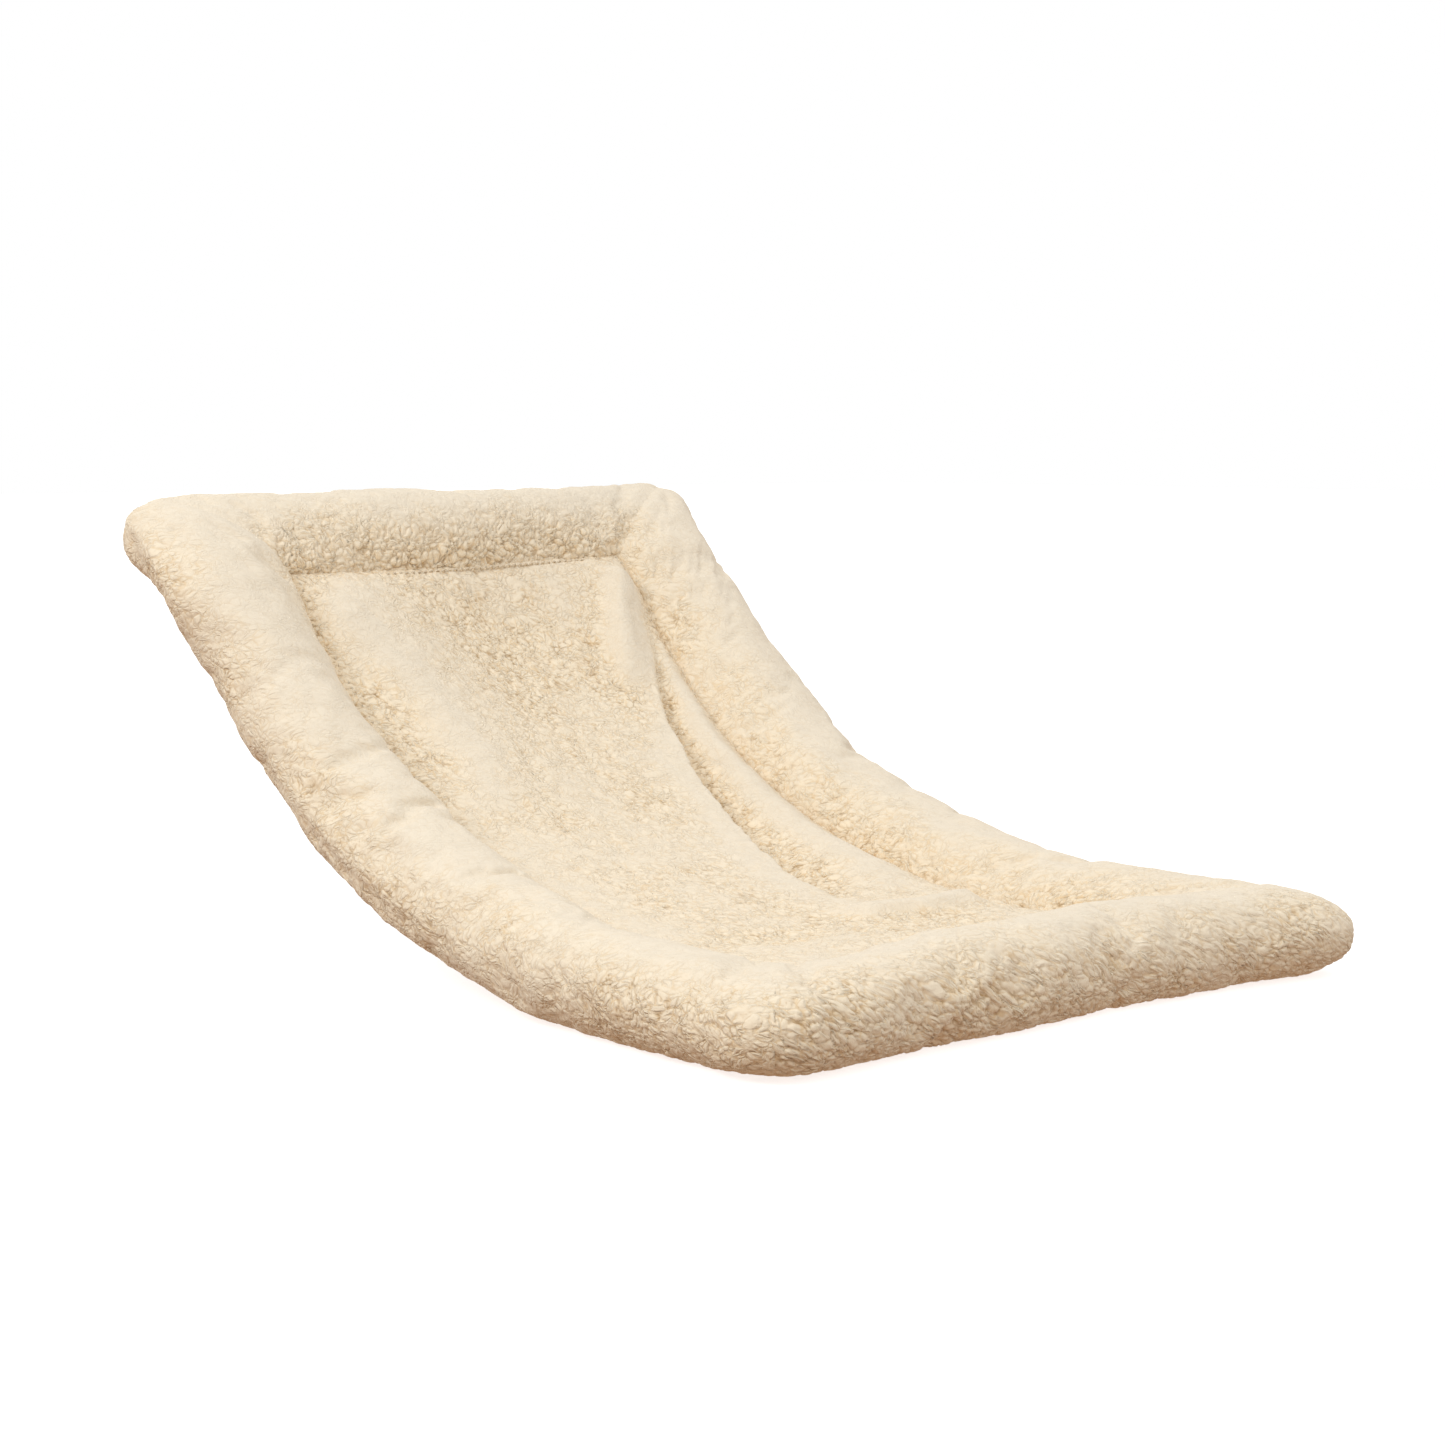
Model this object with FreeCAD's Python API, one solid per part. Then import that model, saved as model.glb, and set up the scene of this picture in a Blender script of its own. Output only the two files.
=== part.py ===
import FreeCAD, Part
import math
import os

# A padded pet bed: a fat stuffed rim round a thinner sleeping panel, bent lengthwise
# like a chaise. +X is across the bed, +Y runs from foot to head, +Z is up, in
# millimetres. The origin is under the middle of the bed, level with its underside.

Vector = FreeCAD.Vector

# Outline and lengthwise bend, measured on the mid-surface of the rim
WIDTH = 400.0                # across, outside the rims
HEAD_SLOPE = 52.0            # degrees, where the back is steepest
HEAD_CURL_RADIUS = 103.0     # the head edge curls over, outwards
SEAT_RADIUS = 430.0          # the seat hollow
FOOT_RUN = 140.0             # flat stretch at the foot
CORNER_RADIUS = 26.0         # outside corners, in plan

# Stuffed rim: an oval flattened where it rests
RIM_WIDTH = 78.0
RIM_THICKNESS = 50.0
RIM_UNDERSIDE = 22.0         # from the middle of the oval down to the flat

# Cloth, wadding and thread
FLEECE = 5.0
BASE_CLOTH = 3.0
WADDING = 14.0
THREAD = 1.2
GAP = 0.4                    # clearance between neighbouring pieces
PANEL_TOP = 5.0              # top of the sleeping panel above the mid-surface

# Derived sizes
CURL_LENGTH = HEAD_CURL_RADIUS * math.radians(HEAD_SLOPE)
SEAT_LENGTH = SEAT_RADIUS * math.radians(HEAD_SLOPE)
LENGTH = CURL_LENGTH + SEAT_LENGTH + FOOT_RUN
HALF_WIDTH = WIDTH / 2
HALF_RIM = RIM_WIDTH / 2
PANEL_HALF_WIDTH = HALF_WIDTH - RIM_WIDTH - GAP
PANEL_START = RIM_WIDTH + GAP
PANEL_END = LENGTH - RIM_WIDTH - GAP
WADDING_TOP = PANEL_TOP - FLEECE - GAP
BASE_TOP = WADDING_TOP - WADDING - GAP
THREAD_LEVEL = PANEL_TOP + THREAD / 2 + GAP
TOOL_DEPTH = 2 * RIM_THICKNESS    # how far cutting tools reach past the bed

# The bend as legs: start, end, and signed radius (positive with its centre above)
LEGS = (
    (0.0, CURL_LENGTH, -HEAD_CURL_RADIUS),
    (CURL_LENGTH, CURL_LENGTH + SEAT_LENGTH, SEAT_RADIUS),
    (CURL_LENGTH + SEAT_LENGTH, LENGTH, None),
)


def normal(slope):
    """Upward normal of the mid-surface where it falls towards the foot at a slope."""
    return Vector(0, -math.sin(slope), math.cos(slope))


def tangent(slope):
    """Direction along the mid-surface, from head to foot."""
    return Vector(0, -math.cos(slope), -math.sin(slope))


def bend_at(distance):
    """Point and slope of the mid-surface at a distance from the head edge."""
    point = Vector(0, 0, 0)
    slope = 0.0
    for start, end, radius in LEGS:
        run = min(distance, end) - start
        if run <= 0:
            break
        if radius is None:
            point = point + tangent(slope) * run
        else:
            centre = point + normal(slope) * radius
            slope = slope - run / radius
            point = centre - normal(slope) * radius
    return point, slope


def placed(shape, distance):
    """Stand a drawing made in the XZ plane across the bend at a distance from the head."""
    point, slope = bend_at(distance)
    copy = shape.copy()
    copy.rotate(Vector(0, 0, 0), Vector(1, 0, 0), math.degrees(slope))
    copy.translate(point)
    return copy


def sweep(outline, start, end):
    """Solid that an outline in the XZ plane makes as it follows the bend."""
    solids = []
    for leg_start, leg_end, radius in LEGS:
        first = max(start, leg_start)
        last = min(end, leg_end)
        if last <= first:
            continue
        face = placed(outline, first)
        point, slope = bend_at(first)
        if radius is None:
            solids.append(face.extrude(tangent(slope) * (last - first)))
        else:
            centre = point + normal(slope) * radius
            turn = math.degrees(-(last - first) / radius)
            solids.append(face.revolve(centre, Vector(1, 0, 0), turn))
    return solids[0].fuse(solids[1:]).removeSplitter()


def face_of(edges):
    """Plane face inside a closed ring of edges."""
    return Part.Face(Part.Wire(edges))


def layer(top, thickness, half_width):
    """Flat layer of the panel, swept along the bend between the head and foot rims."""
    corners = [
        Vector(-half_width, 0, top - thickness), Vector(half_width, 0, top - thickness),
        Vector(half_width, 0, top), Vector(-half_width, 0, top),
        Vector(-half_width, 0, top - thickness),
    ]
    return sweep(Part.Face(Part.makePolygon(corners)), PANEL_START, PANEL_END)


def rim_outline(inset):
    """Oval section of the rim, flat underneath, with its wall moved in by an inset."""
    half_width = HALF_RIM - inset
    half_height = RIM_THICKNESS / 2 - inset
    drop = RIM_UNDERSIDE - inset
    oval = Part.Ellipse(Vector(half_width, 0, 0), Vector(0, 0, half_height), Vector(0, 0, 0))
    low = math.asin(drop / half_height)
    crown = oval.toShape(-low, math.pi + low)
    ends = [vertex.Point for vertex in crown.Vertexes]
    return face_of([crown, Part.makeLine(ends[1], ends[0])])


def rim_middle(end_name):
    """Distance from the head edge to the middle of the head or foot rim."""
    return HALF_RIM if end_name == "head" else LENGTH - HALF_RIM


def end_tool(end_name, flat_shape):
    """Thick tool from a plan drawing centred on the head or foot rim, outer edge at +Y."""
    tool = flat_shape.copy()
    tool.translate(Vector(0, 0, -TOOL_DEPTH))
    tool = tool.extrude(Vector(0, 0, 2 * TOOL_DEPTH))
    if end_name == "foot":
        tool.rotate(Vector(0, 0, 0), Vector(0, 0, 1), 180)
    return placed(tool, rim_middle(end_name))


def mitre_zone(end_name, gap):
    """Ground an end rim covers: its ends slant at 45 degrees. A gap narrows it."""
    reach = HALF_RIM + TOOL_DEPTH
    outer = HALF_WIDTH + TOOL_DEPTH - gap
    inner = outer - 2 * reach
    corners = [
        Vector(-outer, reach, 0), Vector(outer, reach, 0),
        Vector(inner, -reach, 0), Vector(-inner, -reach, 0), Vector(-outer, reach, 0),
    ]
    return end_tool(end_name, Part.Face(Part.makePolygon(corners)))


def corner_waste(end_name, inset):
    """What a rounded outside corner takes off both corners of an end."""
    radius = CORNER_RADIUS - inset
    across = HALF_WIDTH - CORNER_RADIUS
    along = HALF_RIM - CORNER_RADIUS
    reach = CORNER_RADIUS + TOOL_DEPTH
    block = Part.makePolygon([
        Vector(across, along, 0), Vector(across + reach, along, 0),
        Vector(across + reach, along + reach, 0), Vector(across, along + reach, 0),
        Vector(across, along, 0),
    ])
    disc = Part.Face(Part.Wire(Part.makeCircle(radius, Vector(across, along, 0))))
    right = Part.Face(block).cut(disc)
    left = right.mirror(Vector(0, 0, 0), Vector(1, 0, 0))
    return [end_tool(end_name, flat.Faces[0]) for flat in (right, left)]


def end_rim(end_name, inset):
    """Head or foot rim, straight across the bed, with slanted ends and round corners."""
    section = rim_outline(inset)
    section.rotate(Vector(0, 0, 0), Vector(0, 0, 1), 90)
    section.translate(Vector(-HALF_WIDTH, 0, 0))
    bar = placed(section.extrude(Vector(WIDTH, 0, 0)), rim_middle(end_name))
    return bar.common(mitre_zone(end_name, GAP)).cut(corner_waste(end_name, inset))


def side_rim(side, inset):
    """Left (-1) or right (+1) rim, which follows the whole bend."""
    section = rim_outline(inset)
    section.translate(Vector(side * (HALF_WIDTH - HALF_RIM), 0, 0))
    bar = sweep(section, 0.0, LENGTH)
    waste = [mitre_zone(end_name, 0.0) for end_name in ("head", "foot")]
    for end_name in ("head", "foot"):
        waste.extend(corner_waste(end_name, inset))
    return bar.cut(waste)


def thread_along(across):
    """Thread on top of the panel, lengthwise, at a distance from the centre line."""
    ring = Part.makeCircle(THREAD / 2, Vector(across, 0, THREAD_LEVEL), Vector(0, 1, 0))
    return sweep(Part.Face(Part.Wire(ring)), PANEL_START + 2 * THREAD, PANEL_END - 2 * THREAD)


def thread_across(distance):
    """Thread on top of the panel, straight across, at a distance from the head edge."""
    half_length = PANEL_HALF_WIDTH - 2 * THREAD
    ring = Part.makeCircle(THREAD / 2, Vector(-half_length, 0, THREAD_LEVEL), Vector(1, 0, 0))
    bar = Part.Face(Part.Wire(ring)).extrude(Vector(2 * half_length, 0, 0))
    return placed(bar, distance)


def rim_nodes():
    """Cover and fill of each of the four rims."""
    makers = {
        "head_rim": lambda inset: end_rim("head", inset),
        "foot_rim": lambda inset: end_rim("foot", inset),
        "left_rim": lambda inset: side_rim(-1, inset),
        "right_rim": lambda inset: side_rim(1, inset),
    }
    nodes = {}
    for name, maker in makers.items():
        nodes[name + "_cover"] = maker(0.0).cut(maker(FLEECE))
        nodes[name + "_fill"] = maker(FLEECE + GAP)
    return nodes


def panel_nodes():
    """Sleeping panel, its wadding, the base panel and the seam thread round them."""
    seam = PANEL_HALF_WIDTH - THREAD / 2
    threads = [thread_along(side * seam) for side in (-1, 1)]
    threads += [thread_across(PANEL_START + THREAD), thread_across(PANEL_END - THREAD)]
    return {
        "sleeping_panel": layer(PANEL_TOP, FLEECE, PANEL_HALF_WIDTH),
        "panel_wadding": layer(WADDING_TOP, WADDING, PANEL_HALF_WIDTH - FLEECE),
        "base_panel": layer(BASE_TOP, BASE_CLOTH, PANEL_HALF_WIDTH),
        "rim_seam_thread": Part.makeCompound(threads),
    }


def main():
    """Build every piece, set the origin under the middle of the bed and write the files."""
    nodes = rim_nodes()
    nodes.update(panel_nodes())
    box = Part.makeCompound(list(nodes.values())).optimalBoundingBox(False, False)
    to_origin = Vector(0, -(box.YMin + box.YMax) / 2, -box.ZMin)
    os.makedirs("parts", exist_ok=True)
    for name, shape in nodes.items():
        shape.translate(to_origin)
        shape.exportStep("parts/" + name + ".step")
        print(name, "solids", len(shape.Solids), "valid", shape.isValid(),
              "volume_cm3", round(shape.Volume / 1000, 1))
    print("length along the bend", round(LENGTH, 1))
    print("size", round(box.XLength, 1), round(box.YLength, 1), round(box.ZLength, 1))


main()
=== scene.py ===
import math

import bpy
import numpy as np
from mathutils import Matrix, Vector, noise


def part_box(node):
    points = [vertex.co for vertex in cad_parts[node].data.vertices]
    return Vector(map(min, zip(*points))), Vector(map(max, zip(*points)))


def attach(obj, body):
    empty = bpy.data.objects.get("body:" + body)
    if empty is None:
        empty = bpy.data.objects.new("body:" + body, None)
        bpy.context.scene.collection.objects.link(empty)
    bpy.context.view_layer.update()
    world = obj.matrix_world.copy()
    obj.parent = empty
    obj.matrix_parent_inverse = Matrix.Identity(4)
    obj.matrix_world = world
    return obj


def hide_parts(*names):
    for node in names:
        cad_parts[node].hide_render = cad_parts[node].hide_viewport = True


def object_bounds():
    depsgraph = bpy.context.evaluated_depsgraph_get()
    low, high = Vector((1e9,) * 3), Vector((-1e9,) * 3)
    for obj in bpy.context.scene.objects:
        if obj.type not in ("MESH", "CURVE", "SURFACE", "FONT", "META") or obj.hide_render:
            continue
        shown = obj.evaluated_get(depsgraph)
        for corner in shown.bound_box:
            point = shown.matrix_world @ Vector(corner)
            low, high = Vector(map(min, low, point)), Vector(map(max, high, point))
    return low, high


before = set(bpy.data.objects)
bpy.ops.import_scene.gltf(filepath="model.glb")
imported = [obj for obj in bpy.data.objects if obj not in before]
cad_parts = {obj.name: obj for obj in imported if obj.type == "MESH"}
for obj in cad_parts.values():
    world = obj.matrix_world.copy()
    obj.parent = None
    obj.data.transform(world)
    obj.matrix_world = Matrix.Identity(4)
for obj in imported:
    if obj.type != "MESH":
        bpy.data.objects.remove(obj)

CAD_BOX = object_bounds()

# The bed is drawn flat and then bent. On the flat mat x runs across, u is the distance
# from the head edge, and n the height above the middle of the rims, all in metres.
HEAD_SLOPE = math.radians(52.0)     # where the back is steepest
CURL_RADIUS = 0.103                 # the head edge curls over, outwards
SEAT_RADIUS = 0.430                 # the seat hollow
FOOT_RUN = 0.140                    # flat stretch at the foot
CORNER_RADIUS = 0.026               # outside corners, in plan
RIM_THICKNESS = 0.050
RIM_UNDERSIDE = 0.022               # from the middle of the rim down to its flat

FOOT_EDGE = CAD_BOX[0].y
HALF_WIDTH = CAD_BOX[1].x
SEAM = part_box("sleeping_panel")[1].x          # seam between panel and side rims
RIM_WIDTH = HALF_WIDTH - SEAM
SEAT_LENGTH = SEAT_RADIUS * HEAD_SLOPE
CURL_LENGTH = CURL_RADIUS * HEAD_SLOPE
LENGTH = FOOT_RUN + SEAT_LENGTH + CURL_LENGTH
PANEL_LENGTH = LENGTH - 2 * RIM_WIDTH         # between its seams, along the bend

# Cloth
FLEECE = 0.005                      # backing and pile together
BASE_CLOTH = 0.0015
BASE_DEPTH = 0.0160                 # base cloth below the middle of the rims
THREAD = 0.0012
STITCH = 0.0045
COARSE = 0.006                      # mesh that is simulated as cloth
PILE_QUADS = 86_000                 # faces of a piece's curly side

# How the real mat strays from its plan
SEAT_BULGE = 0.011                  # extra width of the right rim along the seat
FOOT_PULL = (0.024, 0.012)          # the right foot corner is pulled out, across and along
HEAD_PULL = (0.017, 0.006)          # the right head corner is pulled out, across and up
HEAD_NARROWING = 0.006              # the head rim narrows to the right
FOOT_SAG = 0.003                    # the right rim sinks near the foot
LEFT_BULGES = ((0.009, 0.080, 0.035), (0.002, 0.20, 0.10), (0.005, 0.50, 0.07))    # size, u, reach


# ---------------------------------------------------------------- shapes

def bend(x, u, n):
    """Places of points of the flat mat once it is bent, as an array of rows x, y, z."""
    from_foot = LENGTH - u
    straight = np.minimum(from_foot, FOOT_RUN)
    rise = np.clip(from_foot - FOOT_RUN, 0, SEAT_LENGTH) / SEAT_RADIUS
    curl = np.maximum(from_foot - FOOT_RUN - SEAT_LENGTH, 0) / CURL_RADIUS
    slope = rise - curl
    y = FOOT_EDGE + straight + SEAT_RADIUS * np.sin(rise)
    y = y + CURL_RADIUS * (np.sin(rise) - np.sin(slope))
    z = RIM_UNDERSIDE + SEAT_RADIUS * (1 - np.cos(rise))
    z = z + CURL_RADIUS * (np.cos(slope) - np.cos(rise))
    return np.stack([x + 0 * u, y - n * np.sin(slope), z + n * np.cos(slope)], axis=-1)


def bell(value, middle, width):
    """1 at the middle, falling smoothly to 0 either side."""
    return np.exp(-((value - middle) / width) ** 2)


def ramp(value, low, high):
    """0 below low, 1 above high, and smooth between."""
    t = np.clip((value - low) / (high - low), 0, 1)
    return t * t * (3 - 2 * t)


def mat_point(x, u, n):
    """As bend, on the real mat: the right rim is fatter along the seat and lower near the
    foot, its two corners are pulled out, the head rim narrows towards it, and the left rim is
    fuller in places."""
    fatter = SEAT_BULGE * bell(u, 0.29, 0.13) * bell(x, SEAM, 0.045)
    foot = ramp(u, LENGTH - 0.12, LENGTH + 0.01) * ramp(x, 0.08, HALF_WIDTH)
    head = (1 - ramp(u, 0, 0.07)) * ramp(x, 0.08, HALF_WIDTH)
    full = sum(size * bell(u, place, reach) for size, place, reach in LEFT_BULGES)
    full = full * ramp(-x, SEAM, HALF_WIDTH)
    u = u - HEAD_NARROWING * bell(u, RIM_WIDTH, 0.035) * ramp(x, -0.08, SEAM)
    n = n + HEAD_PULL[1] * head - FOOT_SAG * bell(u, 0.49, 0.07) * ramp(x, SEAM, HALF_WIDTH)
    x = x - fatter + FOOT_PULL[0] * foot + HEAD_PULL[0] * head - full
    return bend(x, u + FOOT_PULL[1] * foot, n)


def rim_length(side):
    """Length of a rim along its outer edge, before its corners are rounded."""
    return LENGTH if side in ("left", "right") else 2 * HALF_WIDTH


def rim_plan(side, along, out):
    """x and u of a point of a rim: along from 0 to 1 between its mitres, out from its seam."""
    radius = np.maximum(CORNER_RADIUS * out / RIM_WIDTH, 1e-6)
    corner = radius * math.pi / 4
    straight = rim_length(side) - 2 * (RIM_WIDTH - out + radius)
    s = along * (straight + 2 * corner)
    first = np.clip(corner - s, 0, corner) / radius
    last = np.clip(s - corner - straight, 0, corner) / radius
    run = RIM_WIDTH - out + radius + np.clip(s - corner, 0, straight)
    run = run + radius * (np.sin(last) - np.sin(first))
    reach = out - radius * (2 - np.cos(first) - np.cos(last))
    if side == "left":
        return -SEAM - reach, run
    if side == "right":
        return SEAM + reach, run
    if side == "head":
        return run - HALF_WIDTH, RIM_WIDTH - reach
    return run - HALF_WIDTH, LENGTH - RIM_WIDTH + reach


def noisy(points, size, seed):
    """Smooth noise from about -1 to 1 at each point, with lumps of a size in metres."""
    shift = Vector((seed * 7.3, seed * 3.1, seed * 5.7))
    flat = points.reshape(-1, 3) / size
    values = [noise.noise(Vector(p) + shift) for p in flat]
    return np.array(values).reshape(points.shape[:-1])


def resample(grid, rows, closed):
    """Grid of points read at fractional rows, along a smooth cubic through its own rows."""
    count = len(grid)
    base = np.floor(rows).astype(int)
    part = (rows - base).reshape(-1, 1, 1)

    def row(step):
        index = base + step
        return grid[index % count] if closed else grid[np.clip(index, 0, count - 1)]

    a, b, c, d = row(-1), row(0), row(1), row(2)
    return b + part / 2 * (c - a + part * (2 * a - 5 * b + 4 * c - d + part * (3 * (b - c) + d - a)))


def refined(grid, rows, columns, closed):
    """Grid of points with more rows and columns. Closed grids are tubes round their columns."""
    rows_at = np.linspace(0, len(grid) - 1, rows)
    end = grid.shape[1] if closed else grid.shape[1] - 1
    columns_at = np.linspace(0, end, columns, endpoint=not closed)
    grid = resample(grid, rows_at, False)
    return resample(grid.swapaxes(0, 1), columns_at, closed).swapaxes(0, 1)


def normals(grid, closed):
    """Unit normals of a grid of points."""
    along = np.gradient(grid, axis=0)
    if closed:
        across = np.roll(grid, -1, axis=1) - np.roll(grid, 1, axis=1)
    else:
        across = np.gradient(grid, axis=1)
    cross = np.cross(along, across)
    return cross / np.maximum(np.linalg.norm(cross, axis=-1, keepdims=True), 1e-12)


def outward(grid):
    """Unit normals of a tube, pointing out of it."""
    found = normals(grid, True)
    middle = grid.mean(axis=1, keepdims=True)
    return found if ((grid - middle) * found).sum() > 0 else -found


def grid_faces(rows, columns, closed, start=0):
    """Quads of a grid of points numbered row by row."""
    i = np.arange(rows - 1).reshape(-1, 1)
    j = np.arange(columns if closed else columns - 1).reshape(1, -1)
    k = (j + 1) % columns
    quads = [i * columns + j, i * columns + k, (i + 1) * columns + k, (i + 1) * columns + j]
    return (np.stack(quads, axis=-1).reshape(-1, 4) + start).tolist()


def tube_parts(grid, start=0):
    """Points and faces of a tube from a closed grid, its two ends closed by fans."""
    rows, columns = grid.shape[:2]
    points = np.concatenate([grid.reshape(-1, 3), grid[0].mean(0)[None], grid[-1].mean(0)[None]])
    faces = grid_faces(rows, columns, True, start)
    first = [start + j for j in range(columns)]
    last = [start + (rows - 1) * columns + j for j in range(columns)]
    hub = start + rows * columns
    for j in range(columns):
        k = (j + 1) % columns
        faces += [[first[k], first[j], hub], [last[j], last[k], hub + 1]]
    return points, faces


def slab_parts(top, bottom):
    """Points and faces of a thin closed slab between two open grids."""
    rows, columns = top.shape[:2]
    count = rows * columns
    points = np.concatenate([top.reshape(-1, 3), bottom.reshape(-1, 3)])
    faces = grid_faces(rows, columns, False) + grid_faces(rows, columns, False, count)
    edge = list(range(columns))
    edge += [i * columns + columns - 1 for i in range(1, rows)]
    edge += [(rows - 1) * columns + j for j in range(columns - 2, -1, -1)]
    edge += [i * columns for i in range(rows - 2, 0, -1)]
    for k, point in enumerate(edge):
        following = edge[(k + 1) % len(edge)]
        faces.append([point, following, following + count, point + count])
    return points, faces


def new_piece(name, points, faces, material):
    """Smooth mesh piece with its faces turned outwards."""
    mesh = bpy.data.meshes.new(name)
    mesh.from_pydata(points.tolist(), [], faces)
    piece = bpy.data.objects.new(name, mesh)
    bpy.context.scene.collection.objects.link(piece)
    bpy.context.view_layer.objects.active = piece
    bpy.ops.object.select_all(action="DESELECT")
    piece.select_set(True)
    bpy.ops.object.mode_set(mode="EDIT")
    bpy.ops.mesh.select_all(action="SELECT")
    bpy.ops.mesh.normals_make_consistent(inside=False)
    bpy.ops.object.mode_set(mode="OBJECT")
    mesh.shade_smooth()
    mesh.materials.append(material)
    return piece


def set_attributes(piece, named_values):
    """Store numbers or vectors on the first points of a piece. Its other points get 0."""
    for name, values in named_values.items():
        vector = values.shape[-1] == 3
        values = values.reshape(-1, 3) if vector else values.reshape(-1, 1)
        padded = np.zeros((len(piece.data.vertices), values.shape[1]), np.float32)
        padded[:len(values)] = values
        kind = "FLOAT_VECTOR" if vector else "FLOAT"
        attribute = piece.data.attributes.new(name, kind, "POINT")
        attribute.data.foreach_set("vector" if vector else "value", padded.reshape(-1))


# ---------------------------------------------------------------- cloth

CLOTH_FRAMES = 20


def enclosed(points, faces):
    """Volume inside a closed mesh, negative if its faces are turned inwards."""
    total = 0.0
    for face in faces:
        a = points[face[0]]
        for b, c in zip(face[1:], face[2:]):
            total += np.dot(a, np.cross(points[b], points[c])) / 6
    return total


def inflated(points, faces, pinned, pressure, spare, cap):
    """Points of a closed cover after a cloth simulation blows it up between its pinned points.
    No point moves by more than the cap."""
    mesh = bpy.data.meshes.new("cloth_trial")
    mesh.from_pydata(points.tolist(), [], faces)
    if enclosed(points, faces) < 0:
        mesh.flip_normals()
    trial = bpy.data.objects.new("cloth_trial", mesh)
    bpy.context.scene.collection.objects.link(trial)
    trial.vertex_groups.new(name="pinned").add([int(k) for k in pinned], 1.0, "REPLACE")
    cloth = trial.modifiers.new("cloth", "CLOTH")
    cloth.settings.quality = 6
    cloth.settings.use_pressure = True
    cloth.settings.uniform_pressure_force = pressure
    cloth.settings.shrink_min = -spare
    cloth.settings.vertex_group_mass = "pinned"
    cloth.settings.effector_weights.gravity = 0
    cloth.point_cache.frame_end = CLOTH_FRAMES
    for step in range(1, CLOTH_FRAMES + 1):
        bpy.context.scene.frame_set(step)
    result = trial.evaluated_get(bpy.context.evaluated_depsgraph_get())
    moved = np.empty(len(points) * 3)
    result.data.vertices.foreach_get("co", moved)
    shift = moved.reshape(-1, 3) - points
    length = np.maximum(np.linalg.norm(shift, axis=1, keepdims=True), 1e-9)
    bpy.data.objects.remove(trial)
    bpy.context.scene.frame_set(1)
    return points + shift * np.minimum(1, cap / length)


# ---------------------------------------------------------------- pile

SWIRL_SEED = 5                      # noise_vector differs in each run until it is seeded


def curls(points, size, comb, stretch):
    """Height of curly pile at each point, 0 in the crevices and 1 on the tips of curls, and
    the points moved so that even cells drawn on them look combed and swirled."""
    comb = Vector(comb).normalized()
    heights = np.empty(len(points))
    places = np.empty((len(points), 3))
    for k, place in enumerate(points):
        p = Vector(place) / size
        p += comb * (p.dot(comb) * (1 / stretch - 1))
        p += noise.noise_vector(p * 0.45) * 0.9 + noise.noise_vector(p * 1.3) * 0.25
        nearest = noise.voronoi(p)[0]
        groove = min(1.0, 3.0 * (nearest[1] - nearest[0]))
        heights[k] = 0.75 * groove * (2 - groove) + 0.25 * max(0.0, 1 - nearest[0] ** 2 * 1.5)
        places[k] = p * size
    return heights, places


def pile_on(grid, out, coat, size, depth, comb, stretch):
    """Fine grid with curly pile raised on it, deeper where the coat is curlier, and what the
    fleece material needs to know of it."""
    height, lay = curls(grid.reshape(-1, 3), size, comb, stretch)
    lift = depth * coat * (height.reshape(coat.shape) - 0.6)
    # tips drives painted shade in the material: 0 down in the crevices, 1 on the tips of curls
    tips = 1 - coat * (1 - height.reshape(coat.shape))
    return grid + out * lift[..., None], {"pile": tips, "coat": coat, "lay": lay}


# ---------------------------------------------------------------- rims

COVER_INSET = 0.0015                # room for the pile outside the cover
COVER_SLACK = 0.0042                # how much flatter and wider an empty cover is
RIM_COLUMNS = 36                    # points round a rim's cover when it is simulated
PRESSURE = 15.0                     # of the stuffing
SPARE_CLOTH = 0.006                 # how much larger than drawn the cover is, as a share
MOST_MOVE = 0.010                   # how far the stuffing may push the cover
LUMPS = ((0.0030, 0.060, 1), (0.0014, 0.024, 2))     # height, size and seed

# Where two rims meet at a mitre
MITRE_OVERLAP = 0.0014              # how far their ends push into each other
HEAD_PINCH, FOOT_PINCH = 0.30, 0.05         # how much flatter they are by the seam
HEAD_BLUNT, FOOT_BLUNT = 0.4, 0.2           # how much squarer their outer edge is
TUFTED_CORNER = bend(-HALF_WIDTH, LENGTH, 0)     # the pile is ruffled round this corner
RIMS = {
    # curl size, pile depth, combing direction and stretch
    "head": (0.0046, 0.0021, (1, 0, 0.3), 1.15),
    "foot": (0.0038, 0.0012, (0.8, -0.2, -0.6), 2.6),
    "left": (0.0048, 0.0009, (0.7, -0.6, 0.1), 1.5),
    "right": (0.0048, 0.0012, (0.7, -0.5, -0.2), 1.4),
}
# Middle and half breadth of a rim's smooth crest, in degrees round it from its seam
CRESTS = {"head": (105, 38), "foot": (75, 45), "left": (85, 50), "right": (110, 45)}


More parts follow.
